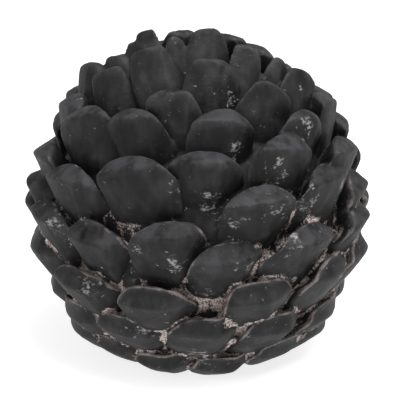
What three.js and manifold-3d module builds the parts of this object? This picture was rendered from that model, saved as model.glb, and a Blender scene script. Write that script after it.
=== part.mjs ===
import * as THREE from "three";
import { mergeVertices } from "three/addons/utils/BufferGeometryUtils.js";
import Module from "manifold-3d";

// A pinecone finial cast in one piece: a ball of thick overlapping scales, cut flat underneath.
// Millimetres, +Z up, front towards -Y, origin in the middle of the flat underside.

// Driving dimensions of the whole casting
const BODY_RADIUS = 74.5; // from the middle of the ball to the noses of the scales
const BASE_DROP = 63; // from the middle of the ball down to the flat underside
const CORE_DEPTH = 13; // how far the core lies below the noses
const CORE_DROP = 4; // how far the middle of the core lies below the middle of the ball
const UNDERSIDE_RADIUS = 32; // the foot that carries the lowest scales
const FOOT_TOP_RADIUS = 55;
const FOOT_HEIGHT = 24;

// Driving dimensions of one scale
const SCALE_WIDTH = 38;
const SCALE_LENGTH = 48; // from the upper rim down to the hidden lower end
const WIDEST_DROP = 15; // from the upper rim down to the widest place
const RIDGE_DROP = 7.5; // from the upper rim down to the soft ridge across the face
const RIM_SETBACK = 8; // how far the upper rim lies back behind the ridge
const FACE_SINK = 23; // how far the lower end lies behind the ridge
const FACE_CROWN = 2; // how far the middle of the face stands proud of its sides
const ROOT_MARGIN = 14; // how far the root in the core lies behind the lower end
const ROOT_DROP = 27; // from the upper rim down to the root

const ARCH_POWER = 1.06; // 1 gives an elliptic rim, less a squarer one, more a pointed one
const SINK_POWER = 0.85; // 1 gives a straight face, less a hollow one
const CROWN_POWER = 3; // 2 gives a round face across, more a flatter one

// Unevenness of the hand-made pattern
const LIFT_SPREAD = 1.2; // how much lower a nose may lie
const WIDTH_SPREAD = 0.04; // share of the width, either way
const LEAN_SPREAD = 3; // degrees, either way
const RIDGE_SPREAD = 2; // how far the ridge may move, either way
const SLANT_SPREAD = 3; // how far the ends of the ridge may rise or drop
const ARCH_SPREAD = 0.12; // how much squarer or more pointed a rim may be
const SKEW_SPREAD = 0.15; // how far, for its height, an arch may lean to one side
const KEEL_SLOPE = 0.38; // slope of the facet down the right of a face, or the left where it's negative
const KEEL_SPREAD = 0.35; // either way
const MOST_IN_A_ROW = 20;

// Facets
const SCALE_SIDES = 10;
const SCALE_RINGS = 3;
const CORE_SIDES = 16;
const SAME_PLACE = 1e-4;

const BLACK_PAINT = new THREE.MeshStandardMaterial({
  color: 0x2d2d2e,
  roughness: 0.72,
  metalness: 0,
});

// The rows of scales from the crown down, with shares of the driving dimensions above. Each front
// scale is [azimuth, colatitude of its rim, share of the row's width, lean, extra lift], in degrees
// and millimetres, with azimuth 0 at the front and growing to the right, and last its skew, which is
// how far, for its height, its arch leans to the right. The loop in rowScales goes on round the back,
// with `back` scales at the row's own colatitude and extra lift `behind`. `bevel` is the share of
// RIM_SETBACK, `widest` that of WIDEST_DROP, `ridge` that of RIDGE_DROP and `arch` that of ARCH_POWER.
// `flank` does for the sides and lower end of a scale what ARCH_POWER does for its rim.
const ROWS = [
  {
    colatitude: 12, width: 0.64, length: 0.7, lift: 5.5, sink: 1.2, root: 0.6, bevel: 0.3,
    widest: 1.3, ridge: 0.5, arch: 1, flank: 0.9, back: 2, behind: -4.5,
    front: [[46, 4, 1, -44, 1.5, 0.1], [-60, 10, 0.5, 62, 0.5], [-112, 16, 0.7, 100, 0.5],
      [130, 9, 0.9, 0, -5]],
  },
  {
    colatitude: 22, width: 0.76, length: 0.8, lift: 2, sink: 1.15, root: 0.7, bevel: 0.35,
    widest: 1.3, ridge: 0.6, arch: 1, flank: 0.85, back: 3, behind: -2.5,
    front: [[16, 14, 1.02, -12, 0.5], [-58, 16, 0.88, 56, 4, -0.1], [76, 15, 0.65, -66, 1.5],
      [-106, 20, 0.55, 70, 0.5], [86, 25, 0.65, -66, 0.5, 0.2], [-138, 23, 0.95, 25, -2.5]],
  },
  {
    colatitude: 30, width: 0.86, length: 0.9, lift: 1, sink: 1.15, root: 0.85, bevel: 0.5,
    widest: 1.3, ridge: 0.8, arch: 1, flank: 0.8, back: 3, behind: -1.5,
    front: [[-14, 27, 0.9, 10, 0, -0.2], [49, 27, 0.95, -34, 0.5, 0.4], [-78, 28, 0.78, 55, 1, -0.1],
      [88, 33, 0.75, -62, 1.5, 0.1], [-105, 36, 0.75, 45, 2.5], [-101, 25, 0.6, 55, 1],
      [-132, 35, 0.95, 15, -1.5], [120, 34, 0.95, -15, -3]],
  },
  {
    colatitude: 43, width: 0.95, length: 1, lift: 0.5, sink: 1.15, root: 1, bevel: 0.5,
    widest: 1.15, ridge: 1.15, arch: 1, flank: 0.75, back: 4, behind: -1,
    front: [[-31, 36, 0.85, 15, 0.5, -0.5], [14, 35, 1, -6, 0, 0.15], [61, 43, 0.95, -30, 0, 0.2],
      [-65, 43, 1, 28, 1, -0.2], [-88, 44, 0.85, 22, 1], [89, 44, 0.8, -22, 1],
      [-114, 48, 0.95, 8, -0.5], [114, 47, 0.95, -8, -1]],
  },
  {
    colatitude: 55, width: 1, length: 1, lift: 0, sink: 1.05, root: 1, bevel: 0.65,
    widest: 1, ridge: 1.2, arch: 1, flank: 0.65, back: 6, behind: -0.5,
    front: [[38, 48, 0.92, -8, 1.5, 0.45], [5, 50, 1, -4, -0.5], [-26, 54, 1.02, 12, 2, -0.35],
      [74, 58, 0.92, -15, 0.5, 0.2], [-79, 62, 0.92, 12, 1.4, -0.2]],
  },
  {
    colatitude: 69, width: 1, length: 1, lift: 0, sink: 0.92, root: 1, bevel: 0.85,
    widest: 1, ridge: 1.1, arch: 0.95, flank: 0.6, back: 6, behind: -0.5,
    front: [[-53, 63, 0.98, 8, 1, -0.25], [22, 64, 1.05, 0, 1.5, 0.2], [53, 63, 1.05, 0, 0.5, 0.45],
      [-81, 74, 0.95, 0, 1], [80, 73, 0.9, 0, 1]],
  },
  {
    colatitude: 83, width: 1, length: 1, lift: 0, sink: 0.72, root: 1, bevel: 0.9,
    widest: 1, ridge: 1, arch: 0.85, flank: 0.55, back: 7, behind: -0.5,
    front: [[-11, 75, 0.98, 0, 1, 0.15], [-37, 80, 0.9, 0, 0, -0.35], [10, 83, 0.95, 0, 0, 0.25],
      [38, 81, 1.08, 0, 0.5, 0.45], [-63, 80, 1.05, 0, 1, -0.2], [72, 83, 1, 0, 1, 0.3]],
  },
  {
    colatitude: 97, width: 1, length: 1, lift: 0, sink: 0.52, root: 1, bevel: 0.65,
    widest: 1, ridge: 1, arch: 0.75, flank: 0.55, back: 7, behind: -1,
    front: [[-15, 99, 0.95, 0, 1, -0.1], [23, 98, 0.95, 0, 0.5, -0.1], [54, 96, 1, 0, 0.5, 0.2],
      [-46, 99, 0.95, 0, 0, -0.2], [76, 95, 0.9, 0, 1.5, 0.2], [-72, 93, 0.95, 0, 1, -0.2]],
  },
  {
    colatitude: 113, width: 0.96, length: 1, lift: -0.5, sink: 0.3, root: 1, bevel: 0.45,
    widest: 1, ridge: 1, arch: 0.75, flank: 0.5, back: 8, behind: 0,
    front: [[-29, 115, 1, 0, 0, -0.1], [4, 112, 1.02, 0, 0.5], [34, 114, 0.98, 0, 0, 0.05],
      [64, 117, 0.9, 0, 0.5, 0.15], [-58, 116, 0.95, 0, 0.5, -0.15]],
  },
  {
    colatitude: 130, width: 0.74, length: 0.5, lift: 0.5, sink: 0.1, root: 1, bevel: 0.4,
    widest: 0.8, ridge: 1, arch: 0.8, flank: 0.55, back: 7, behind: 0,
    front: [[-66, 125, 1, 0, 1], [-43, 129, 1, 0, 0.5], [-20, 134, 1, 0, 1], [15, 135, 1, 0, 1],
      [44, 129, 1, 0, 0.5], [68, 125, 1, 0, 1]],
  },
];

const radians = THREE.MathUtils.degToRad;
const wasm = await Module();
wasm.setup();

// Turns a closed three.js geometry into a solid that can be joined and cut
function solidOf(geometry) {
  geometry.deleteAttribute("normal");
  geometry.deleteAttribute("uv");
  const merged = mergeVertices(geometry, SAME_PLACE);
  return new wasm.Manifold(new wasm.Mesh({
    numProp: 3,
    vertProperties: new Float32Array(merged.attributes.position.array),
    triVerts: new Uint32Array(merged.index.array),
  }));
}

// Turns a solid back into a three.js geometry
function geometryOf(solid) {
  const mesh = solid.getMesh();
  const geometry = new THREE.BufferGeometry();
  geometry.setAttribute("position", new THREE.BufferAttribute(mesh.vertProperties, 3));
  geometry.setIndex(new THREE.BufferAttribute(mesh.triVerts, 1));
  geometry.computeVertexNormals();
  return geometry;
}

// A repeatable uneven value between -1 and 1 for each scale and each use
function uneven(index, use) {
  const wave = Math.sin(index * 12.9898 + use * 78.233) * 43758.5453;
  return 2 * (wave - Math.floor(wave)) - 1;
}

// Edge of a scale seen from outside: a broad arch above its widest place, full sides below it.
// `turn` goes round from the lower end, and `spread` from the middle of the face to its edge.
function outline(turn, spread, { width, length, widest, arch, flank, skew }) {
  const upper = Math.cos(turn) < 0;
  const power = upper ? arch : flank;
  const reach = upper ? -widest : length - widest;
  const across = (width / 2) * Math.sign(Math.sin(turn)) * Math.abs(Math.sin(turn)) ** power;
  const below = reach * Math.abs(Math.cos(turn)) ** power;
  return {
    across: (across - skew * Math.min(0, below)) * spread,
    drop: widest + below * spread,
  };
}

// Depth of the face below the ridge: a bevel above it, a facet to one side, sinking away below
function faceDepth(across, drop, { width, length, sink, rimSetback, brow, ridge, slant, keel }) {
  const share = (2 * across) / width;
  const crown = FACE_CROWN * Math.abs(share) ** CROWN_POWER;
  const bevel = rimSetback * Math.max(0, 1 - drop / (ridge + slant * share));
  const facet = Math.abs(keel) * Math.max(0, Math.sign(keel) * across - width / 8);
  const fall = Math.max(0, (drop - brow) / (length - brow)) ** SINK_POWER;
  return crown + bevel + facet + sink * fall;
}

// One scale: a faceted ball whose near half becomes the face and whose far pole is the root
function scaleSolid(scale) {
  const blank = new THREE.SphereGeometry(1, SCALE_SIDES, SCALE_RINGS);
  const outward = new THREE.Vector3(0, 0, 1)
    .applyAxisAngle(new THREE.Vector3(1, 0, 0), radians(scale.colatitude))
    .applyAxisAngle(new THREE.Vector3(0, 0, 1), radians(scale.azimuth));
  const side = new THREE.Vector3(Math.cos(radians(scale.azimuth)), Math.sin(radians(scale.azimuth)), 0);
  side.applyAxisAngle(outward, radians(scale.lean));
  const up = new THREE.Vector3().crossVectors(outward, side);

  const place = blank.attributes.position;
  for (let i = 0; i < place.count; i += 1) {
    const ring = Math.floor(i / (SCALE_SIDES + 1));
    const column = i % (SCALE_SIDES + 1);
    const turn = (2 * Math.PI * (column % SCALE_SIDES)) / SCALE_SIDES;
    const isRoot = ring === SCALE_RINGS;
    const spread = Math.min(1, ring / (SCALE_RINGS - 1));
    const { across, drop } = outline(turn, isRoot ? 0 : spread, scale);
    const depth = isRoot ? scale.sink + ROOT_MARGIN : faceDepth(across, drop, scale);
    const sideAngle = across / BODY_RADIUS;
    const upAngle = -(isRoot ? scale.root : drop) / BODY_RADIUS;
    const point = new THREE.Vector3()
      .addScaledVector(outward, Math.cos(sideAngle) * Math.cos(upAngle))
      .addScaledVector(side, Math.sin(sideAngle))
      .addScaledVector(up, Math.cos(sideAngle) * Math.sin(upAngle))
      .multiplyScalar(BODY_RADIUS + scale.lift - depth);
    place.setXYZ(i, point.x, point.y, point.z + BASE_DROP);
  }
  return solidOf(blank);
}

// The scales of one row: those that the front shows, then the back filled evenly
function rowScales(row, rowIndex) {
  const placed = row.front.map((entry) => [...entry]);
  const azimuths = placed.map((entry) => entry[0]).sort((a, b) => a - b);
  const start = azimuths[azimuths.length - 1];
  const gap = 360 + azimuths[0] - start;
  for (let i = 1; i <= row.back; i += 1) {
    placed.push([start + (gap * i) / (row.back + 1), row.colatitude, 1, 0, row.behind]);
  }
  return placed.map(([azimuth, colatitude, share = 1, lean = 0, proud = 0, skew = 0], i) => {
    const index = rowIndex * MOST_IN_A_ROW + i;
    return {
      azimuth,
      colatitude,
      width: SCALE_WIDTH * row.width * share * (1 + WIDTH_SPREAD * uneven(index, 1)),
      length: SCALE_LENGTH * row.length,
      lift: row.lift + proud - (LIFT_SPREAD * (1 + uneven(index, 2))) / 2,
      sink: FACE_SINK * row.sink,
      root: ROOT_DROP * row.root,
      rimSetback: RIM_SETBACK * row.bevel,
      lean: lean + LEAN_SPREAD * uneven(index, 3),
      widest: WIDEST_DROP * row.widest,
      brow: RIDGE_DROP * row.ridge,
      ridge: (RIDGE_DROP + RIDGE_SPREAD * uneven(index, 4)) * row.ridge,
      slant: SLANT_SPREAD * uneven(index, 5),
      keel: KEEL_SLOPE + KEEL_SPREAD * uneven(index, 6),
      arch: ARCH_POWER * row.arch + ARCH_SPREAD * uneven(index, 7),
      flank: row.flank,
      skew: skew + SKEW_SPREAD * uneven(index, 8),
    };
  });
}

// The core that fills the gaps between the scales, with the foot under it
function coreSolid() {
  const ball = new THREE.SphereGeometry(BODY_RADIUS - CORE_DEPTH, CORE_SIDES, CORE_SIDES / 2);
  ball.rotateX(Math.PI / 2);
  ball.translate(0, 0, BASE_DROP - CORE_DROP);
  const foot = new THREE.CylinderGeometry(FOOT_TOP_RADIUS, UNDERSIDE_RADIUS, FOOT_HEIGHT, CORE_SIDES);
  foot.rotateX(Math.PI / 2);
  foot.translate(0, 0, FOOT_HEIGHT / 2);
  return solidOf(ball).add(solidOf(foot));
}

// The block below the ground that cuts the underside flat
function groundSolid() {
  const reach = 4 * BODY_RADIUS;
  const block = new THREE.BoxGeometry(reach, reach, reach);
  block.translate(0, 0, -reach / 2);
  return solidOf(block);
}

// The cast body without the pockets that the joined scales would close off inside it
function withoutPockets(solid) {
  const shells = solid.decompose();
  return shells.reduce((largest, shell) => (shell.volume() > largest.volume() ? shell : largest));
}

function pineconeGeometry() {
  let solid = coreSolid();
  ROWS.forEach((row, rowIndex) => {
    rowScales(row, rowIndex).forEach((scale) => {
      solid = solid.add(scaleSolid(scale));
    });
  });
  return geometryOf(withoutPockets(solid.subtract(groundSolid())));
}

const finial = new THREE.Group();
const pinecone = new THREE.Mesh(pineconeGeometry(), BLACK_PAINT);
pinecone.name = "pinecone";
finial.add(pinecone);

export default finial;
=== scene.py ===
import math

import bpy
import numpy as np
from mathutils import Matrix, Vector, noise


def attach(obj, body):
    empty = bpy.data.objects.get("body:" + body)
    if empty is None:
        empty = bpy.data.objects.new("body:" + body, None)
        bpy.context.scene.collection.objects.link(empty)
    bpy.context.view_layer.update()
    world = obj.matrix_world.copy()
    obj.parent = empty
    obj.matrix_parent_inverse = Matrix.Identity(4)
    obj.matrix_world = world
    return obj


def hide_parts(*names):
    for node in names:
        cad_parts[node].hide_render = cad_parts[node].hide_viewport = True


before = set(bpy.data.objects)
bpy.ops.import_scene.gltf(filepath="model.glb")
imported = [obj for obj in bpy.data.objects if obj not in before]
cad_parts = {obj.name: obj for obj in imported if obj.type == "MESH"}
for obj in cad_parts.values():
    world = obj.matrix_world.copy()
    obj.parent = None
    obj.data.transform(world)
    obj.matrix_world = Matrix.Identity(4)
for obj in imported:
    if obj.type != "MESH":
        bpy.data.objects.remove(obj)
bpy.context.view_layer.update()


# The scales of the cone
# Thick petals of cement mortar, pressed on by hand in uneven rows from the crown down and cast as
# one with the body. Each has a rounded face, a soft ridge across it and a rolled upper rim. Those
# of the crown stand upright, and those near the foot have a thin lip over a hollow band.
MM = 0.001  # every size of the cone is in millimetres, and the mesh is in metres
BODY_RADIUS = 74.5
BASE_DROP = 63
SCALE_WIDTH = 38
SCALE_LENGTH = 48
WIDEST_DROP = 15
RIDGE_DROP = 7.5
RIM_SETBACK = 8
RIM_ROUNDING = 1
FACE_SINK = 23
FACE_CROWN = 2
ROOT_MARGIN = 14
ROOT_DROP = 27
ARCH_POWER = 1.06
SINK_POWER = 0.85
CROWN_POWER = 3
LIP_HOLLOW = 1.6
LIP_BAND = 9
LIFT_SPREAD = 1.2
WIDTH_SPREAD = 0.04
LEAN_SPREAD = 3
RIDGE_SPREAD = 2
SLANT_SPREAD = 3
ARCH_SPREAD = 0.12
SKEW_SPREAD = 0.15
KEEL_SLOPE = 0.38
KEEL_SPREAD = 0.35
KEEL_START = 0.125
MOST_IN_A_ROW = 20

# The rows from the crown down, with shares of the sizes above: bevel of RIM_SETBACK, lip of
# LIP_HOLLOW, ridge of RIDGE_DROP, arch of ARCH_POWER, and width, length, sink, root and widest of
# the size with their name. Flank does for a scale's sides and lower end what ARCH_POWER does for its
# rim. The back scales fill the row evenly at its colatitude, with behind as their extra lift. Each
# front scale is [azimuth, colatitude of its rim, share of the row's width, lean, extra lift, skew].
# Angles are in degrees, and lifts in millimetres.
ROWS = [
    dict(colatitude=12, width=0.64, length=0.7, lift=5.5, sink=1.2, root=0.6, bevel=0.3, lip=0,
         widest=1.3, ridge=0.5, arch=1, flank=0.9, back=2, behind=-4.5,
         front=[[46, 4, 1, -44, 1.5, 0.1], [-60, 10, 0.5, 62, 0.5], [-112, 16, 0.7, 100, 0.5],
                [130, 9, 0.9, 0, -5]]),
    dict(colatitude=22, width=0.76, length=0.8, lift=2, sink=1.15, root=0.7, bevel=0.35, lip=0,
         widest=1.3, ridge=0.6, arch=1, flank=0.85, back=3, behind=-2.5,
         front=[[16, 14, 1.02, -12, 0.5], [-58, 16, 0.88, 56, 4, -0.1], [76, 15, 0.65, -66, 1.5],
                [-106, 20, 0.55, 70, 0.5], [86, 25, 0.65, -66, 0.5, 0.2], [-138, 23, 0.95, 25, -2.5]]),
    dict(colatitude=30, width=0.86, length=0.9, lift=1, sink=1.15, root=0.85, bevel=0.5, lip=0,
         widest=1.3, ridge=0.8, arch=1, flank=0.8, back=3, behind=-1.5,
         front=[[-14, 27, 0.9, 10, 0, -0.2], [49, 27, 0.95, -34, 0.5, 0.4], [-78, 28, 0.78, 55, 1, -0.1],
                [88, 33, 0.75, -62, 1.5, 0.1], [-105, 36, 0.75, 45, 2.5], [-101, 25, 0.6, 55, 1],
                [-132, 35, 0.95, 15, -1.5], [120, 34, 0.95, -15, -3]]),
    dict(colatitude=43, width=0.95, length=1, lift=0.5, sink=1.15, root=1, bevel=0.5, lip=0,
         widest=1.15, ridge=1.15, arch=1, flank=0.75, back=4, behind=-1,
         front=[[-31, 36, 0.85, 15, 0.5, -0.5], [14, 35, 1, -6, 0, 0.15], [61, 43, 0.95, -30, 0, 0.2],
                [-65, 43, 1, 28, 1, -0.2], [-88, 44, 0.85, 22, 1], [89, 44, 0.8, -22, 1],
                [-114, 48, 0.95, 8, -0.5], [114, 47, 0.95, -8, -1]]),
    dict(colatitude=55, width=1, length=1, lift=0, sink=1.05, root=1, bevel=0.65, lip=0,
         widest=1, ridge=1.2, arch=1, flank=0.65, back=6, behind=-0.5,
         front=[[38, 48, 0.92, -8, 1.5, 0.45], [5, 50, 1, -4, -0.5], [-26, 54, 1.02, 12, 2, -0.35],
                [74, 58, 0.92, -15, 0.5, 0.2], [-79, 62, 0.92, 12, 1.4, -0.2]]),
    dict(colatitude=69, width=1, length=1, lift=0, sink=0.92, root=1, bevel=0.85, lip=0,
         widest=1, ridge=1.1, arch=0.95, flank=0.6, back=6, behind=-0.5,
         front=[[-53, 63, 0.98, 8, 1, -0.25], [22, 64, 1.05, 0, 1.5, 0.2], [53, 63, 1.05, 0, 0.5, 0.45],
                [-81, 74, 0.95, 0, 1], [80, 73, 0.9, 0, 1]]),
    dict(colatitude=83, width=1, length=1, lift=0, sink=0.72, root=1, bevel=0.9, lip=0.2,
         widest=1, ridge=1, arch=0.85, flank=0.55, back=7, behind=-0.5,
         front=[[-11, 75, 0.98, 0, 1, 0.15], [-37, 80, 0.9, 0, 0, -0.35], [10, 83, 0.95, 0, 0, 0.25],
                [38, 81, 1.08, 0, 0.5, 0.45], [-63, 80, 1.05, 0, 1, -0.2], [72, 83, 1, 0, 1, 0.3]]),
    dict(colatitude=97, width=1, length=1, lift=0, sink=0.52, root=1, bevel=0.65, lip=0.7,
         widest=1, ridge=1, arch=0.75, flank=0.55, back=7, behind=-1,
         front=[[-15, 99, 0.95, 0, 1, -0.1], [23, 98, 0.95, 0, 0.5, -0.1], [54, 96, 1, 0, 0.5, 0.2],
                [-46, 99, 0.95, 0, 0, -0.2], [76, 95, 0.9, 0, 1.5, 0.2], [-72, 93, 0.95, 0, 1, -0.2]]),
    dict(colatitude=113, width=0.96, length=1, lift=-0.5, sink=0.3, root=1, bevel=0.45, lip=1,
         widest=1, ridge=1, arch=0.75, flank=0.5, back=8, behind=0,
         front=[[-29, 115, 1, 0, 0, -0.1], [4, 112, 1.02, 0, 0.5], [34, 114, 0.98, 0, 0, 0.05],
                [64, 117, 0.9, 0, 0.5, 0.15], [-58, 116, 0.95, 0, 0.5, -0.15]]),
    dict(colatitude=130, width=0.74, length=0.5, lift=0.5, sink=0.1, root=1, bevel=0.4, lip=0.8,
         widest=0.8, ridge=1, arch=0.8, flank=0.55, back=7, behind=0,
         front=[[-66, 125, 1, 0, 1], [-43, 129, 1, 0, 0.5], [-20, 134, 1, 0, 1], [15, 135, 1, 0, 1],
                [44, 129, 1, 0, 0.5], [68, 125, 1, 0, 1]]),
]

FACE_RINGS = 18
RING_CROWDING = 0.8  # less than 1 sets the rings closer together towards the edge
ROOT_RINGS = 4
SIDES = 48


def uneven(index, use):
    """A repeatable value between -1 and 1 for each scale and each use."""
    wave = math.sin(index * 12.9898 + use * 78.233) * 43758.5453
    return 2 * (wave - math.floor(wave)) - 1


USUAL_SCALE = [1, 0, 0, 0]  # share, lean, extra lift and skew where an entry leaves them out


def row_scales(row, row_index):
    """The scales that the front shows, then the back of the row filled evenly."""
    placed = [list(entry) for entry in row["front"]]
    azimuths = sorted(entry[0] for entry in placed)
    start = azimuths[-1]
    gap = 360 + azimuths[0] - start
    for i in range(1, row["back"] + 1):
        placed.append([start + gap * i / (row["back"] + 1), row["colatitude"], 1, 0, row["behind"]])
    scales = []
    for i, entry in enumerate(placed):
        azimuth, colatitude, share, lean, proud, skew = entry + USUAL_SCALE[len(entry) - 2:]
        index = row_index * MOST_IN_A_ROW + i
        scales.append(dict(
            index=index,
            azimuth=math.radians(azimuth),
            colatitude=math.radians(colatitude),
            width=SCALE_WIDTH * row["width"] * share * (1 + WIDTH_SPREAD * uneven(index, 1)),
            length=SCALE_LENGTH * row["length"],
            lift=row["lift"] + proud - LIFT_SPREAD * (1 + uneven(index, 2)) / 2,
            sink=row["sink"] * FACE_SINK,
            root=row["root"] * ROOT_DROP,
            bevel=row["bevel"] * RIM_SETBACK,
            lip=row["lip"] * LIP_HOLLOW,
            lean=math.radians(lean + LEAN_SPREAD * uneven(index, 3)),
            widest=row["widest"] * WIDEST_DROP,
            brow=row["ridge"] * RIDGE_DROP,
            ridge=row["ridge"] * (RIDGE_DROP + RIDGE_SPREAD * uneven(index, 4)),
            slant=SLANT_SPREAD * uneven(index, 5),
            keel=KEEL_SLOPE + KEEL_SPREAD * uneven(index, 6),
            arch=ARCH_POWER * row["arch"] + ARCH_SPREAD * uneven(index, 7),
            flank=row["flank"],
            skew=skew + SKEW_SPREAD * uneven(index, 8),
        ))
    return scales


def scale_axes(scale):
    """Outward, sideways and upward directions at the rim of a scale."""
    turned = Matrix.Rotation(scale["azimuth"], 3, "Z") @ Matrix.Rotation(scale["colatitude"], 3, "X")
    outward = turned @ Vector((0, 0, 1))
    side = Vector((math.cos(scale["azimuth"]), math.sin(scale["azimuth"]), 0))
    side.rotate(Matrix.Rotation(scale["lean"], 3, outward))
    return np.array(outward), np.array(side), np.array(outward.cross(side))


def outline(turn, scale):
    """Sideways place and drop below the rim, round the edge of a scale from its lower point."""
    upper = np.cos(turn) < 0
    power = np.where(upper, scale["arch"], scale["flank"])
    across = scale["width"] / 2 * np.sign(np.sin(turn)) * np.abs(np.sin(turn)) ** power
    reach = np.where(upper, -scale["widest"], scale["length"] - scale["widest"])
    below = reach * np.abs(np.cos(turn)) ** power
    return across - scale["skew"] * np.minimum(0, below), below


def face_depth(across, drop, scale):
    """Depth of the face behind the ridge: a bevel above it, a facet to one side, sinking below."""
    length, brow, keel = scale["length"], scale["brow"], scale["keel"]
    share = 2 * across / scale["width"]
    ridge = scale["ridge"] + scale["slant"] * share
    crown = FACE_CROWN * np.abs(share) ** CROWN_POWER
    bevel = scale["bevel"] * np.clip(1 - drop / ridge, 0, None)
    hollow = scale["lip"] * np.sin(math.pi * np.clip(drop / LIP_BAND, 0, 1))
    facet = abs(keel) * np.clip(np.sign(keel) * across - KEEL_START * scale["width"], 0, None)
    fall = np.clip((drop - brow) / (length - brow), 0, None)
    return crown + bevel + facet + hollow + scale["sink"] * fall ** SINK_POWER


def scale_mesh(scale):
    """Points and faces of one closed scale, in millimetres from the middle of the underside."""
    outward, side, up = scale_axes(scale)
    spread = np.concatenate([np.linspace(0, 1, FACE_RINGS + 1)[1:] ** RING_CROWDING, np.ones(ROOT_RINGS)])
    inward = np.concatenate([np.zeros(FACE_RINGS), np.linspace(0, 1, ROOT_RINGS + 2)[1:-1]])
    turn = np.linspace(0, 2 * math.pi, SIDES, endpoint=False)
    spread, turn = np.meshgrid(spread, turn, indexing="ij")
    inward = np.repeat(inward[:, None], SIDES, axis=1)

    edge_across, edge_drop = outline(turn, scale)
    across = edge_across * spread
    drop = scale["widest"] + edge_drop * spread
    edge = np.clip((spread - 1) * scale["width"] / 2 / RIM_ROUNDING + 1, 0, 1)
    rounding = RIM_ROUNDING * (1 - np.sqrt(1 - edge ** 2))
    depth = face_depth(across, drop, scale) + rounding

    across = across * (1 - inward)
    root_depth = scale["sink"] + ROOT_MARGIN
    drop = drop + (scale["root"] - drop) * inward
    depth = depth + (root_depth - depth) * inward
    middle_depth = float(face_depth(0, scale["widest"], scale))
    across = np.append(across.ravel(), [0, 0])
    drop = np.append(drop.ravel(), [scale["widest"], scale["root"]])
    depth = np.append(depth.ravel(), [middle_depth, root_depth])

    side_angle = (across / BODY_RADIUS)[:, None]
    up_angle = (-drop / BODY_RADIUS)[:, None]
    direction = (outward * np.cos(side_angle) * np.cos(up_angle) + side * np.sin(side_angle)
                 + up * np.cos(side_angle) * np.sin(up_angle))
    points = direction * (BODY_RADIUS + scale["lift"] - depth)[:, None]
    points[:, 2] += BASE_DROP

    rings = FACE_RINGS + ROOT_RINGS
    centre, root = rings * SIDES, rings * SIDES + 1
    faces = []
    for i in range(SIDES):
        j = (i + 1) % SIDES
        faces.append((centre, i, j))
        for ring in range(rings - 1):
            a, b = ring * SIDES, (ring + 1) * SIDES
            faces.append((a + i, b + i, b + j, a + j))
        faces.append((root, (rings - 1) * SIDES + j, (rings - 1) * SIDES + i))
    return points, faces


scales = []
for row_index, row in enumerate(ROWS):
    scales += row_scales(row, row_index)

all_points = []
all_faces = []
point_count = 0
for scale in scales:
    points, faces = scale_mesh(scale)
    all_points.append(points)
    all_faces += [tuple(corner + point_count for corner in face) for face in faces]
    point_count += len(points)


# The body that carries the scales
# A ball of the same mortar with a low foot, hidden but for the crevices. The scales and the body
# are one casting, so they are melted into one skin and the underside is ground flat.
CORE_DEPTH = 13
CORE_DROP = 4
UNDERSIDE_RADIUS = 32
FOOT_TOP_RADIUS = 55
FOOT_HEIGHT = 24
BODY_SIDES = 72
BALL_RINGS = 24
SKIN_CELL = 0.65
SMOOTHING_SHARE = 0.5
SMOOTHING_ROUNDS = 2
MOST_TRIANGLES = 196_000
UNDERSIDE_SKIN = 1
LUMP_WIDTH = 9
LUMP_HEIGHT = 0.42
DENT_WIDTH = 3.2
DENT_HEIGHT = 0.16


def turned_body(profile):
    """A closed turned solid from a profile of (radius, height) that starts and ends on the axis."""
    inner = profile[1:-1]
    points = [(0, 0, profile[0][1]), (0, 0, profile[-1][1])]
    for radius, height in inner:
        for i in range(BODY_SIDES):
            angle = 2 * math.pi * i / BODY_SIDES
            points.append((radius * math.cos(angle), radius * math.sin(angle), height))
    faces = []
    last = 2 + (len(inner) - 1) * BODY_SIDES
    for i in range(BODY_SIDES):
        j = (i + 1) % BODY_SIDES
        faces.append((0, 2 + j, 2 + i))
        for ring in range(len(inner) - 1):
            a, b = 2 + ring * BODY_SIDES, 2 + (ring + 1) * BODY_SIDES
            faces.append((a + i, a + j, b + j, b + i))
        faces.append((1, last + i, last + j))
    return np.array(points, float), faces


core_radius = BODY_RADIUS - CORE_DEPTH
core_middle = BASE_DROP - CORE_DROP
ball_turns = [math.pi * ring / BALL_RINGS for ring in range(BALL_RINGS + 1)]
ball = [(core_radius * math.sin(turn), core_middle - core_radius * math.cos(turn))
        for turn in ball_turns]
foot = [(0, 0), (UNDERSIDE_RADIUS, 0), (FOOT_TOP_RADIUS, FOOT_HEIGHT), (0, FOOT_HEIGHT)]
for profile in (ball, foot):
    points, faces = turned_body(profile)
    all_points.append(points)
    all_faces += [tuple(corner + point_count for corner in face) for face in faces]
    point_count += len(points)

points = np.concatenate(all_points)
points[:, 2] = np.clip(points[:, 2], 0, None)
mesh = bpy.data.meshes.new("pinecone_cast")
mesh.from_pydata((points * MM).tolist(), [], all_faces)
mesh.update()
pinecone = bpy.data.objects.new("pinecone_cast", mesh)
bpy.context.scene.collection.objects.link(pinecone)


def apply_modifiers(piece):
    """Makes the modifiers of a piece part of its mesh."""
    graph = bpy.context.evaluated_depsgraph_get()
    finished = bpy.data.meshes.new_from_object(piece.evaluated_get(graph))
    piece.modifiers.clear()
    piece.data = finished


skin = pinecone.modifiers.new("skin", "REMESH")
skin.mode = "VOXEL"
skin.voxel_size = SKIN_CELL * MM
soften = pinecone.modifiers.new("soften", "SMOOTH")
soften.factor = SMOOTHING_SHARE
soften.iterations = SMOOTHING_ROUNDS
apply_modifiers(pinecone)

triangles = sum(len(face.vertices) - 2 for face in pinecone.data.polygons)
thin = pinecone.modifiers.new("thin", "DECIMATE")
thin.ratio = min(1, MOST_TRIANGLES / triangles)
apply_modifiers(pinecone)
pinecone.data.polygons.foreach_set("use_smooth", [True] * len(pinecone.data.polygons))

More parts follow.
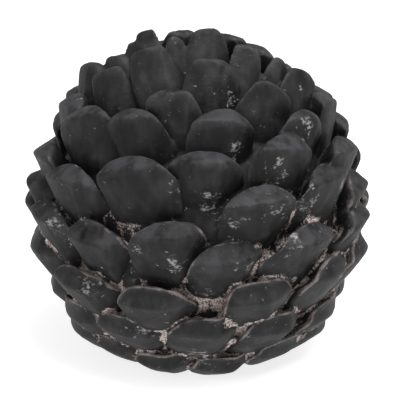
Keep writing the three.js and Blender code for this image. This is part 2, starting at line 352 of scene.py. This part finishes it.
# Low lumps and dents, as hand-worked mortar has, but not in the flat underside
normals = [vertex.normal.copy() for vertex in pinecone.data.vertices]
for vertex, normal in zip(pinecone.data.vertices, normals):
    if vertex.co.z > UNDERSIDE_SKIN * MM:
        lump = LUMP_HEIGHT * noise.noise(vertex.co / (LUMP_WIDTH * MM))
        dent = DENT_HEIGHT * noise.noise(vertex.co / (DENT_WIDTH * MM))
        vertex.co += normal * (lump + dent) * MM
pinecone.data.update()

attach(pinecone, "root")
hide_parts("pinecone")


# Where the paint is worn, where dust lies, and where light and shade are painted
# Each point of the skin gets numbers: how deep it lies in a crevice or in the band under a low rim,
# which is darkened as painted shade; how much painted light its upward faces and bevels take, and how
# worn the paint is on its edges and rim, which is also a painted highlight; how pale its rim is; how
# much dust, dry brushing or stain it holds; and where a pinhole is painted black as painted shade. The
# dust is thickest low down and to the right.
WIDE_ROUNDS = 45
NARROW_ROUNDS = 6
CREVICE_DEPTH = 1.3
SEAM_DEPTH = 0.2
EDGE_HEIGHT = 0.25
RIM_LINE_PLACE = 0.6
RIM_LINE_WIDTH = 0.9
# The band just inside the upper rim of each low scale is darkened as painted shade of the scales above it
UNDER_RIM_PLACE = 3
UNDER_RIM_WIDTH = 2.2
UPPER_PART = 14
UPPER_FADE = 6
BEVEL_FADE = 1.5
DUST_TOP = 0.82
DUST_FADE = 0.5
DUST_POWER = 1.3
LEVEL_START = 0.15
LEVEL_FADE = 0.6
RIGHT_LEAN = 0.7
FAR_FROM_RIM = 99.0

# How much each place adds to the painted shade of the crevices, the dust, the wear and painted light, and
# the brush marks
UNDER_RIM_SHADE_SHARE = 0.7
SEAM_DUST = 0.12
LOW_SEAM_DUST = 0.55
RIGHT_SEAM_DUST = 0.2
HOLLOW_DUST = 0.3
MARK_DUST = 0.2
MARK_CREVICE_DUST = 0.9
RIM_DUST = 0.2
# Painted light: upward faces and bevels are made paler as if lit from above, and edges and rims are paler
# by wear and as a painted highlight
LEVEL_PAINTED_LIGHT = 0.55
BEVEL_PAINTED_LIGHT = 0.3
EDGE_WEAR_AND_HIGHLIGHT = 0.7
RIM_WEAR_AND_HIGHLIGHT = 0.3
SMEAR_SHARE = 1.3
SMEAR_GAIN = 2
SPOT_POWER = 0.5
PALE_RIM_AT_FOOT = 1.35
PALE_RIM_FALL = 1.3
PALE_RIM_LEAST = 0.25
PALE_RIM_MOST = 0.85
LAYER_MOST = 2

# Each mark is [azimuth, colatitude, size], in degrees and millimetres
DUSTY_MARKS = [[33, 76, 10], [23, 93, 12], [2, 107, 12], [51, 112, 12], [53, 56, 8], [16, 51, 7],
               [11, 76, 6], [-57, 75, 9], [-3, 95, 9], [-20, 97, 7], [-12, 125, 10], [-36, 77, 9],
               [14, 120, 10], [56, 82, 9], [-30, 106, 8], [-50, 104, 9], [8, 60, 7], [8, 105, 10],
               [25, 78, 9], [33, 72, 9], [-20, 96, 9], [6, 127, 9], [-68, 60, 8], [16, 129, 8],
               [-55, 75, 11], [-29, 75, 9], [-26, 83, 9], [-22, 91, 9], [-51, 88, 10], [-44, 98, 9],
               [-62, 96, 9], [-32, 108, 8], [37, 76, 10], [47, 80, 9], [56, 88, 9], [47, 95, 9]]
BRUSHED_MARKS = [[6, 70, 11], [12, 76, 8], [34, 62, 11], [53, 50, 10], [20, 48, 7], [27, 74, 9],
                 [17, 92, 8], [-9, 90, 10], [57, 104, 8], [24, 27, 7], [-24, 120, 9], [0, 133, 14],
                 [40, 72, 12], [32, 84, 9], [48, 90, 10], [-20, 86, 6], [2, 104, 9], [38, 104, 9],
                 [-40, 104, 9], [-56, 84, 8], [62, 74, 9], [-10, 64, 6]]
SMEARS = [[32, 58, 2.4], [17, 49, 1.7], [24, 29, 1], [-9, 94, 1.8], [13, 46, 1.2], [3, 66, 2],
          [27, 58, 1], [18, 52, 1.4], [29, 90, 1.8], [21, 86, 1.2]]
# Pinholes are painted black as painted shade, and the mesh has no holes there
PINHOLES = [[-46, 34], [-63, 51], [23, 20], [65, 36], [86, 26], [12, 56], [17, 89], [69, 77], [21, 140]]
PINHOLE_SIZE = 1.3
OCHRE_SPOTS = [[-74, 57], [-29, 50]]
OCHRE_SIZE = 1

count = len(pinecone.data.vertices)
skin_points = np.empty(count * 3)
pinecone.data.vertices.foreach_get("co", skin_points)
skin_points = skin_points.reshape(-1, 3) / MM
skin_normals = np.empty(count * 3)
pinecone.data.vertices.foreach_get("normal", skin_normals)
skin_normals = skin_normals.reshape(-1, 3)
edges = np.empty(len(pinecone.data.edges) * 2, int)
pinecone.data.edges.foreach_get("vertices", edges)
ends = edges.reshape(-1, 2)
neighbours = np.bincount(edges, minlength=count)


def hollowness(rounds):
    """How far each point lies below the evened-out surface, in millimetres."""
    evened = skin_points.copy()
    for _ in range(rounds):
        total = np.empty_like(evened)
        for axis in range(3):
            column = evened[:, axis]
            total[:, axis] = np.bincount(ends[:, 0], column[ends[:, 1]], count)
            total[:, axis] += np.bincount(ends[:, 1], column[ends[:, 0]], count)
        evened = (evened + total / neighbours[:, None]) / 2
    return ((evened - skin_points) * skin_normals).sum(axis=1)


def towards(azimuth, colatitude):
    """Direction from the middle of the ball."""
    azimuth, colatitude = math.radians(azimuth), math.radians(colatitude)
    return np.array([math.sin(colatitude) * math.sin(azimuth),
                     -math.sin(colatitude) * math.cos(azimuth), math.cos(colatitude)])


def near(marks):
    """1 at the middle of a mark, 0 a mark's size away and beyond, sizes in millimetres."""
    closeness = np.zeros(count)
    for azimuth, colatitude, size in marks:
        away = BODY_RADIUS * np.arccos(np.clip(directions @ towards(azimuth, colatitude), -1, 1))
        closeness = np.maximum(closeness, np.clip(1 - away / size, 0, 1))
    return closeness


directions = skin_points - np.array([0, 0, BASE_DROP])
distances = np.linalg.norm(directions, axis=1)
directions /= distances[:, None]

# The scale that each point belongs to is the outermost one there
outermost = np.full(count, BODY_RADIUS - CORE_DEPTH - CORE_DROP, float)
from_rim = np.full(count, FAR_FROM_RIM)
from_ridge = np.full(count, FAR_FROM_RIM)
for scale in scales:
    outward, side, up = scale_axes(scale)
    across = BODY_RADIUS * np.arcsin(np.clip(directions @ side, -1, 1))
    drop = -BODY_RADIUS * np.arctan2(directions @ up, directions @ outward)
    upper = drop < scale["widest"]
    power = 2 / np.where(upper, scale["arch"], scale["flank"])
    reach = np.where(upper, scale["widest"], scale["length"] - scale["widest"])
    unskewed = across - scale["skew"] * np.maximum(0, scale["widest"] - drop)
    spread = np.abs(2 * unskewed / scale["width"]) ** power
    spread += np.abs((drop - scale["widest"]) / reach) ** power
    spread = spread ** (1 / power)
    height = BODY_RADIUS + scale["lift"] - face_depth(across, drop, scale)
    ours = (spread < 1) & (height > outermost) & (directions @ outward > 0)
    outermost[ours] = height[ours]
    from_rim[ours] = ((1 - spread) * scale["width"] / 2)[ours]
    from_ridge[ours] = (drop - scale["ridge"] - scale["slant"] * 2 * across / scale["width"])[ours]

hollow = np.clip(hollowness(WIDE_ROUNDS) / CREVICE_DEPTH, 0, 1)
narrow = hollowness(NARROW_ROUNDS)
edge = np.clip(-narrow / EDGE_HEIGHT, 0, 1)
seam = np.clip(narrow / SEAM_DEPTH, 0, 1)
height_share = skin_points[:, 2] / (2 * BASE_DROP)
low = np.clip((DUST_TOP - height_share) / DUST_FADE, 0, 1) ** DUST_POWER
upward = np.clip((skin_normals[:, 2] - LEVEL_START) / LEVEL_FADE, 0, 1)
rightward = np.clip(0.5 + directions[:, 0] * RIGHT_LEAN, 0, 1)
upper_part = np.clip((UPPER_PART - from_ridge) / UPPER_FADE, 0, 1)
rim_line = np.clip(1 - np.abs(from_rim - RIM_LINE_PLACE) / RIM_LINE_WIDTH, 0, 1) * upper_part
bevel = np.clip(-from_ridge / BEVEL_FADE, 0, 1)
# Painted shade: the band under the low rims and the deep hollows are darkened
under_rim_shade = np.clip(1 - np.abs(from_rim - UNDER_RIM_PLACE) / UNDER_RIM_WIDTH, 0, 1) * upper_part * low
crevice_shade = np.clip(hollow + UNDER_RIM_SHADE_SHARE * under_rim_shade, 0, 1)

dust = seam * (SEAM_DUST + LOW_SEAM_DUST * low + RIGHT_SEAM_DUST * low * rightward)
dust = dust + HOLLOW_DUST * hollow * low
in_crevice = np.clip(hollow + seam, 0, 1)
dust += near(DUSTY_MARKS) * (MARK_DUST + MARK_CREVICE_DUST * in_crevice) + RIM_DUST * rim_line * low
# Painted light on upward faces and bevels, with wear that is also a painted highlight on edges and rims
worn_and_lit = LEVEL_PAINTED_LIGHT * upward + BEVEL_PAINTED_LIGHT * bevel + EDGE_WEAR_AND_HIGHLIGHT * edge + RIM_WEAR_AND_HIGHLIGHT * rim_line
brushed = near(BRUSHED_MARKS) + SMEAR_SHARE * np.clip(near(SMEARS) * SMEAR_GAIN, 0, 1)
# Pinholes as painted shade
pinholes = near([place + [PINHOLE_SIZE] for place in PINHOLES]) ** SPOT_POWER
ochre = near([place + [OCHRE_SIZE] for place in OCHRE_SPOTS]) ** SPOT_POWER
paleness = np.clip(PALE_RIM_AT_FOOT - PALE_RIM_FALL * height_share, PALE_RIM_LEAST, PALE_RIM_MOST)
pale_rim = rim_line * paleness
for name, values in (("crevice_shade", crevice_shade), ("worn_and_lit", worn_and_lit), ("dust", dust), ("brushed", brushed),
                     ("pinhole_shade", pinholes), ("ochre", ochre), ("pale_rim", pale_rim)):
    layer = pinecone.data.attributes.new(name, "FLOAT", "POINT")
    layer.data.foreach_set("value", np.clip(values, 0, LAYER_MOST).astype(np.float32))


# The paint
# Matt charcoal paint brushed over the mortar: paler on upward faces and bevels as painted light and on
# worn edges and rims as wear and painted highlight, darker and a little brownish in the crevices and
# under the low rims as painted shade, with broken pale pinkish dust over it, strokes left by a dry
# brush, and pinholes painted black as painted shade.
paint = bpy.data.materials.new("matt_black_paint")
paint.use_nodes = True
nodes = paint.node_tree.nodes
links = paint.node_tree.links
shader = nodes["Principled BSDF"]
place = nodes.new("ShaderNodeTexCoord").outputs["Object"]


def layer_value(name):
    """One of the numbers that the skin carries."""
    node = nodes.new("ShaderNodeAttribute")
    node.attribute_name = name
    return node.outputs["Fac"]


def blotches(scale, detail=3, stretch=(1, 1, 1), roughness=0.6):
    """Uneven values round 0.5, in blotches of about a metre divided by the scale.

    Detail is how many rounds of finer blotches lie over the first, and roughness how much they count.
    """
    mapping = nodes.new("ShaderNodeMapping")
    mapping.inputs["Scale"].default_value = stretch
    links.new(place, mapping.inputs["Vector"])
    pattern = nodes.new("ShaderNodeTexNoise")
    pattern.inputs["Scale"].default_value = scale
    pattern.inputs["Detail"].default_value = detail
    pattern.inputs["Roughness"].default_value = roughness
    links.new(mapping.outputs["Vector"], pattern.inputs["Vector"])
    return pattern.outputs["Fac"]


def sums(operation, first, second):
    """One sum of two values, each a socket or a number."""
    node = nodes.new("ShaderNodeMath")
    node.operation = operation
    for socket, value in zip(node.inputs, (first, second)):
        if isinstance(value, (int, float)):
            socket.default_value = value
        else:
            links.new(value, socket)
    return node.outputs["Value"]


def step(value, ends, top=1):
    """0 below the low end, the top value above the high end, even between them."""
    node = nodes.new("ShaderNodeMapRange")
    links.new(value, node.inputs["Value"])
    node.inputs["From Min"].default_value = ends[0]
    node.inputs["From Max"].default_value = ends[1]
    node.inputs["To Max"].default_value = top
    return node.outputs["Result"]


def over(colour, top_colour, share):
    """A colour, or a colour socket, with another laid over it by a share."""
    node = nodes.new("ShaderNodeMix")
    node.data_type = "RGBA"
    links.new(share, node.inputs["Factor"])
    for socket, value in ((node.inputs[6], colour), (node.inputs[7], top_colour)):
        if isinstance(value, tuple):
            socket.default_value = value
        else:
            links.new(value, socket)
    return node.outputs[2]


# Sizes of the blotches, as blotches to the metre
COAT_BLOTCHES = 70
WEAR_AND_LIGHT_BLOTCHES = 160
CRUST_GRAINS = 1100
CRUST_PATCHES = 300
CRUST_SPECKS = 1500
WHITE_SPECKS = 1000
RIM_BREAKS = 210
STROKE_MARKS = 850
STROKE_PATCHES = 240
COARSE_GRAIN = 300
BRUSH_GRAIN = 420
CRUST_ROUGHNESS = 0.75
STROKE_ROUGHNESS = 0.7
WEAR_AND_LIGHT_STRETCH = (1, 1, 0.35)
STROKE_STRETCH = (0.6, 0.8, 1.2)
GRAIN_STRETCH = (0.3, 0.6, 1.7)

# The ends between which each of them comes in, and the most that it covers
PALE_ENDS = (0.4, 0.7)
WEAR_AND_LIGHT_ENDS = (0.3, 0.65)
CRUST_ENDS = (1.14, 1.27)
PINK_ENDS = (0.42, 0.55)
WHITE_ENDS = (0.54, 0.66)
RIM_ENDS = (1.3, 1.75)
RIM_MOST = 0.85
STROKE_ENDS = (1.17, 1.34)
STROKE_MOST = 0.95

# What each value counts for where it is added to a pattern
CREVICE_SHADE_SHARE = 0.55
CRUST_PATCH_SHARE = 0.7
DUST_SHARE = 0.5
RIM_BREAK_SHARE = 1.8
STROKE_PATCH_SHARE = 0.9
BRUSHED_SHARE = 0.24
BRUSH_GRAIN_SHARE = 0.6
CRUST_RELIEF = 0.35

RELIEF_HEIGHT = 0.6
RELIEF_STRENGTH = 0.5
PAINT_ROUGHNESS = 0.62
PAINT_SHINE = 0.22

CHARCOAL = (0.0057, 0.0057, 0.006, 1)
CHARCOAL_PALE = (0.0108, 0.0108, 0.0115, 1)
# Painted light on upward faces and bevels, and wear with a painted highlight on edges and rims
WORN_AND_LIT_GREY = (0.046, 0.046, 0.049, 1)
# Painted shade in the crevices and under the low rims, a little brownish
CREVICE_SHADE_BROWN = (0.0052, 0.0044, 0.0038, 1)
DUST_BROWN = (0.055, 0.043, 0.037, 1)
DUST_PINK = (0.47, 0.39, 0.36, 1)
DUST_WHITE = (0.66, 0.6, 0.57, 1)
RIM_PINK = (0.24, 0.2, 0.185, 1)
STROKE_GREY = (0.31, 0.3, 0.29, 1)
OCHRE = (0.3, 0.2, 0.04, 1)
# Painted shade in the pinholes
PINHOLE_SHADE_BLACK = (0.002, 0.002, 0.002, 1)

coat = over(CHARCOAL, CHARCOAL_PALE, step(blotches(COAT_BLOTCHES, 5), PALE_ENDS))
wear_and_light_pattern = step(blotches(WEAR_AND_LIGHT_BLOTCHES, 4, WEAR_AND_LIGHT_STRETCH), WEAR_AND_LIGHT_ENDS)
# Painted light on upward faces and bevels, with wear and a painted highlight on edges and rims
coat = over(coat, WORN_AND_LIT_GREY, sums("MULTIPLY", layer_value("worn_and_lit"), wear_and_light_pattern))
# Painted shade in the crevices and under the low rims
coat = over(coat, CREVICE_SHADE_BROWN, sums("MULTIPLY", layer_value("crevice_shade"), CREVICE_SHADE_SHARE))

crust_patches = sums("MULTIPLY", blotches(CRUST_PATCHES, 3), CRUST_PATCH_SHARE)
crust = sums("ADD", blotches(CRUST_GRAINS, 4, roughness=CRUST_ROUGHNESS), crust_patches)
dust_amount = step(sums("ADD", crust, sums("MULTIPLY", layer_value("dust"), DUST_SHARE)), CRUST_ENDS)
dust_colour = over(DUST_BROWN, DUST_PINK, step(blotches(CRUST_SPECKS, 3), PINK_ENDS))
dust_colour = over(dust_colour, DUST_WHITE, step(blotches(WHITE_SPECKS, 4), WHITE_ENDS))
coat = over(coat, dust_colour, dust_amount)

rim_breaks = sums("MULTIPLY", blotches(RIM_BREAKS, 5), RIM_BREAK_SHARE)
rim_amount = sums("ADD", layer_value("pale_rim"), rim_breaks)
coat = over(coat, RIM_PINK, step(rim_amount, RIM_ENDS, RIM_MOST))

stroke_patches = sums("MULTIPLY", blotches(STROKE_PATCHES, 3), STROKE_PATCH_SHARE)
strokes = sums("ADD", blotches(STROKE_MARKS, 5, STROKE_STRETCH, STROKE_ROUGHNESS), stroke_patches)
strokes = sums("ADD", strokes, sums("MULTIPLY", layer_value("brushed"), BRUSHED_SHARE))
coat = over(coat, STROKE_GREY, step(strokes, STROKE_ENDS, STROKE_MOST))
coat = over(coat, OCHRE, layer_value("ochre"))
# Painted shade in the pinholes
coat = over(coat, PINHOLE_SHADE_BLACK, layer_value("pinhole_shade"))
links.new(coat, shader.inputs["Base Color"])

brush_grain = sums("MULTIPLY", blotches(BRUSH_GRAIN, 4, GRAIN_STRETCH), BRUSH_GRAIN_SHARE)
grain = sums("ADD", blotches(COARSE_GRAIN, 5), brush_grain)
grain = sums("ADD", grain, sums("MULTIPLY", dust_amount, CRUST_RELIEF))
relief = nodes.new("ShaderNodeBump")
relief.inputs["Strength"].default_value = RELIEF_STRENGTH
relief.inputs["Distance"].default_value = RELIEF_HEIGHT * MM
links.new(grain, relief.inputs["Height"])
links.new(relief.outputs["Normal"], shader.inputs["Normal"])
shader.inputs["Roughness"].default_value = PAINT_ROUGHNESS
shader.inputs["Specular IOR Level"].default_value = PAINT_SHINE
pinecone.data.materials.clear()
pinecone.data.materials.append(paint)


# The floor
# A plain pale floor under the part, reaching far behind it.
FLOOR_HALF = 6
FLOOR_GREY = (0.55, 0.55, 0.55, 1)
FLOOR_ROUGHNESS = 0.9
FLOOR_GLOW = 0.78
WHITE = (1, 1, 1, 1)
floor_mesh = bpy.data.meshes.new("floor")
floor_mesh.from_pydata([(-FLOOR_HALF, -FLOOR_HALF, 0), (FLOOR_HALF, -FLOOR_HALF, 0),
                        (FLOOR_HALF, FLOOR_HALF, 0), (-FLOOR_HALF, FLOOR_HALF, 0)], [], [(0, 1, 2, 3)])
floor = bpy.data.objects.new("floor", floor_mesh)
bpy.context.scene.collection.objects.link(floor)
floor_white = bpy.data.materials.new("floor_white")
floor_white.use_nodes = True
floor_shader = floor_white.node_tree.nodes["Principled BSDF"]
floor_shader.inputs["Base Color"].default_value = FLOOR_GREY
floor_shader.inputs["Roughness"].default_value = FLOOR_ROUGHNESS
floor_shader.inputs["Emission Color"].default_value = WHITE
floor_shader.inputs["Emission Strength"].default_value = FLOOR_GLOW
floor.data.materials.append(floor_white)


# The light
# A pale room with a broad soft lamp above and to the right, as the lit upper facets show, and a
# weaker one to the left.
ROOM_LIGHT = 0.38
KEY_PLACE = (0.3, -0.25, 1.1)
KEY_SIZE = 0.9
KEY_POWER = 14
FILL_PLACE = (-0.8, -0.9, 0.6)
FILL_SIZE = 0.8
FILL_POWER = 2
world = bpy.data.worlds.new("room")
bpy.context.scene.world = world
world.use_nodes = True
world.node_tree.nodes["Background"].inputs["Color"].default_value = WHITE
world.node_tree.nodes["Background"].inputs["Strength"].default_value = ROOM_LIGHT


def soft_lamp(name, place, size, power):
    """A square lamp that faces the part."""
    lamp = bpy.data.lights.new(name, "AREA")
    lamp.size = size
    lamp.energy = power
    holder = bpy.data.objects.new(name, lamp)
    holder.location = place
    toward = Vector((0, 0, BASE_DROP * MM)) - Vector(place)
    holder.rotation_euler = toward.to_track_quat("-Z", "Y").to_euler()
    bpy.context.scene.collection.objects.link(holder)


soft_lamp("key", KEY_PLACE, KEY_SIZE, KEY_POWER)
soft_lamp("fill", FILL_PLACE, FILL_SIZE, FILL_POWER)
bpy.context.scene.view_settings.view_transform = "Standard"


# The camera
# A long lens that looks down on the cone at the photograph's angle and frames it the same way.
CAMERA_ELEVATION = math.radians(21)
CAMERA_DISTANCE = 1.5
SENSOR_WIDTH = 36
FRAME_PIXELS = 400
RADIUS_PIXELS = 173
MIDDLE_X = 198.5
MIDDLE_Y = 204
NOSE_MARGIN = 1
camera_data = bpy.data.cameras.new("camera")
camera_data.sensor_width = SENSOR_WIDTH
nose_radius = (BODY_RADIUS - NOSE_MARGIN) * MM
edge_cosine = math.sqrt(1 - (nose_radius / CAMERA_DISTANCE) ** 2)
seen_half = nose_radius / edge_cosine * FRAME_PIXELS / 2 / RADIUS_PIXELS
camera_data.lens = camera_data.sensor_width / 2 * CAMERA_DISTANCE / seen_half
camera_data.shift_x = -(MIDDLE_X - FRAME_PIXELS / 2) / FRAME_PIXELS
camera_data.shift_y = (MIDDLE_Y - FRAME_PIXELS / 2) / FRAME_PIXELS
camera = bpy.data.objects.new("camera", camera_data)
bpy.context.scene.collection.objects.link(camera)
aim = Vector((0, 0, BASE_DROP * MM))
back = Vector((0, -math.cos(CAMERA_ELEVATION), math.sin(CAMERA_ELEVATION)))
camera.location = aim + back * CAMERA_DISTANCE
camera.rotation_euler = (-back).to_track_quat("-Z", "Y").to_euler()
bpy.context.scene.camera = camera
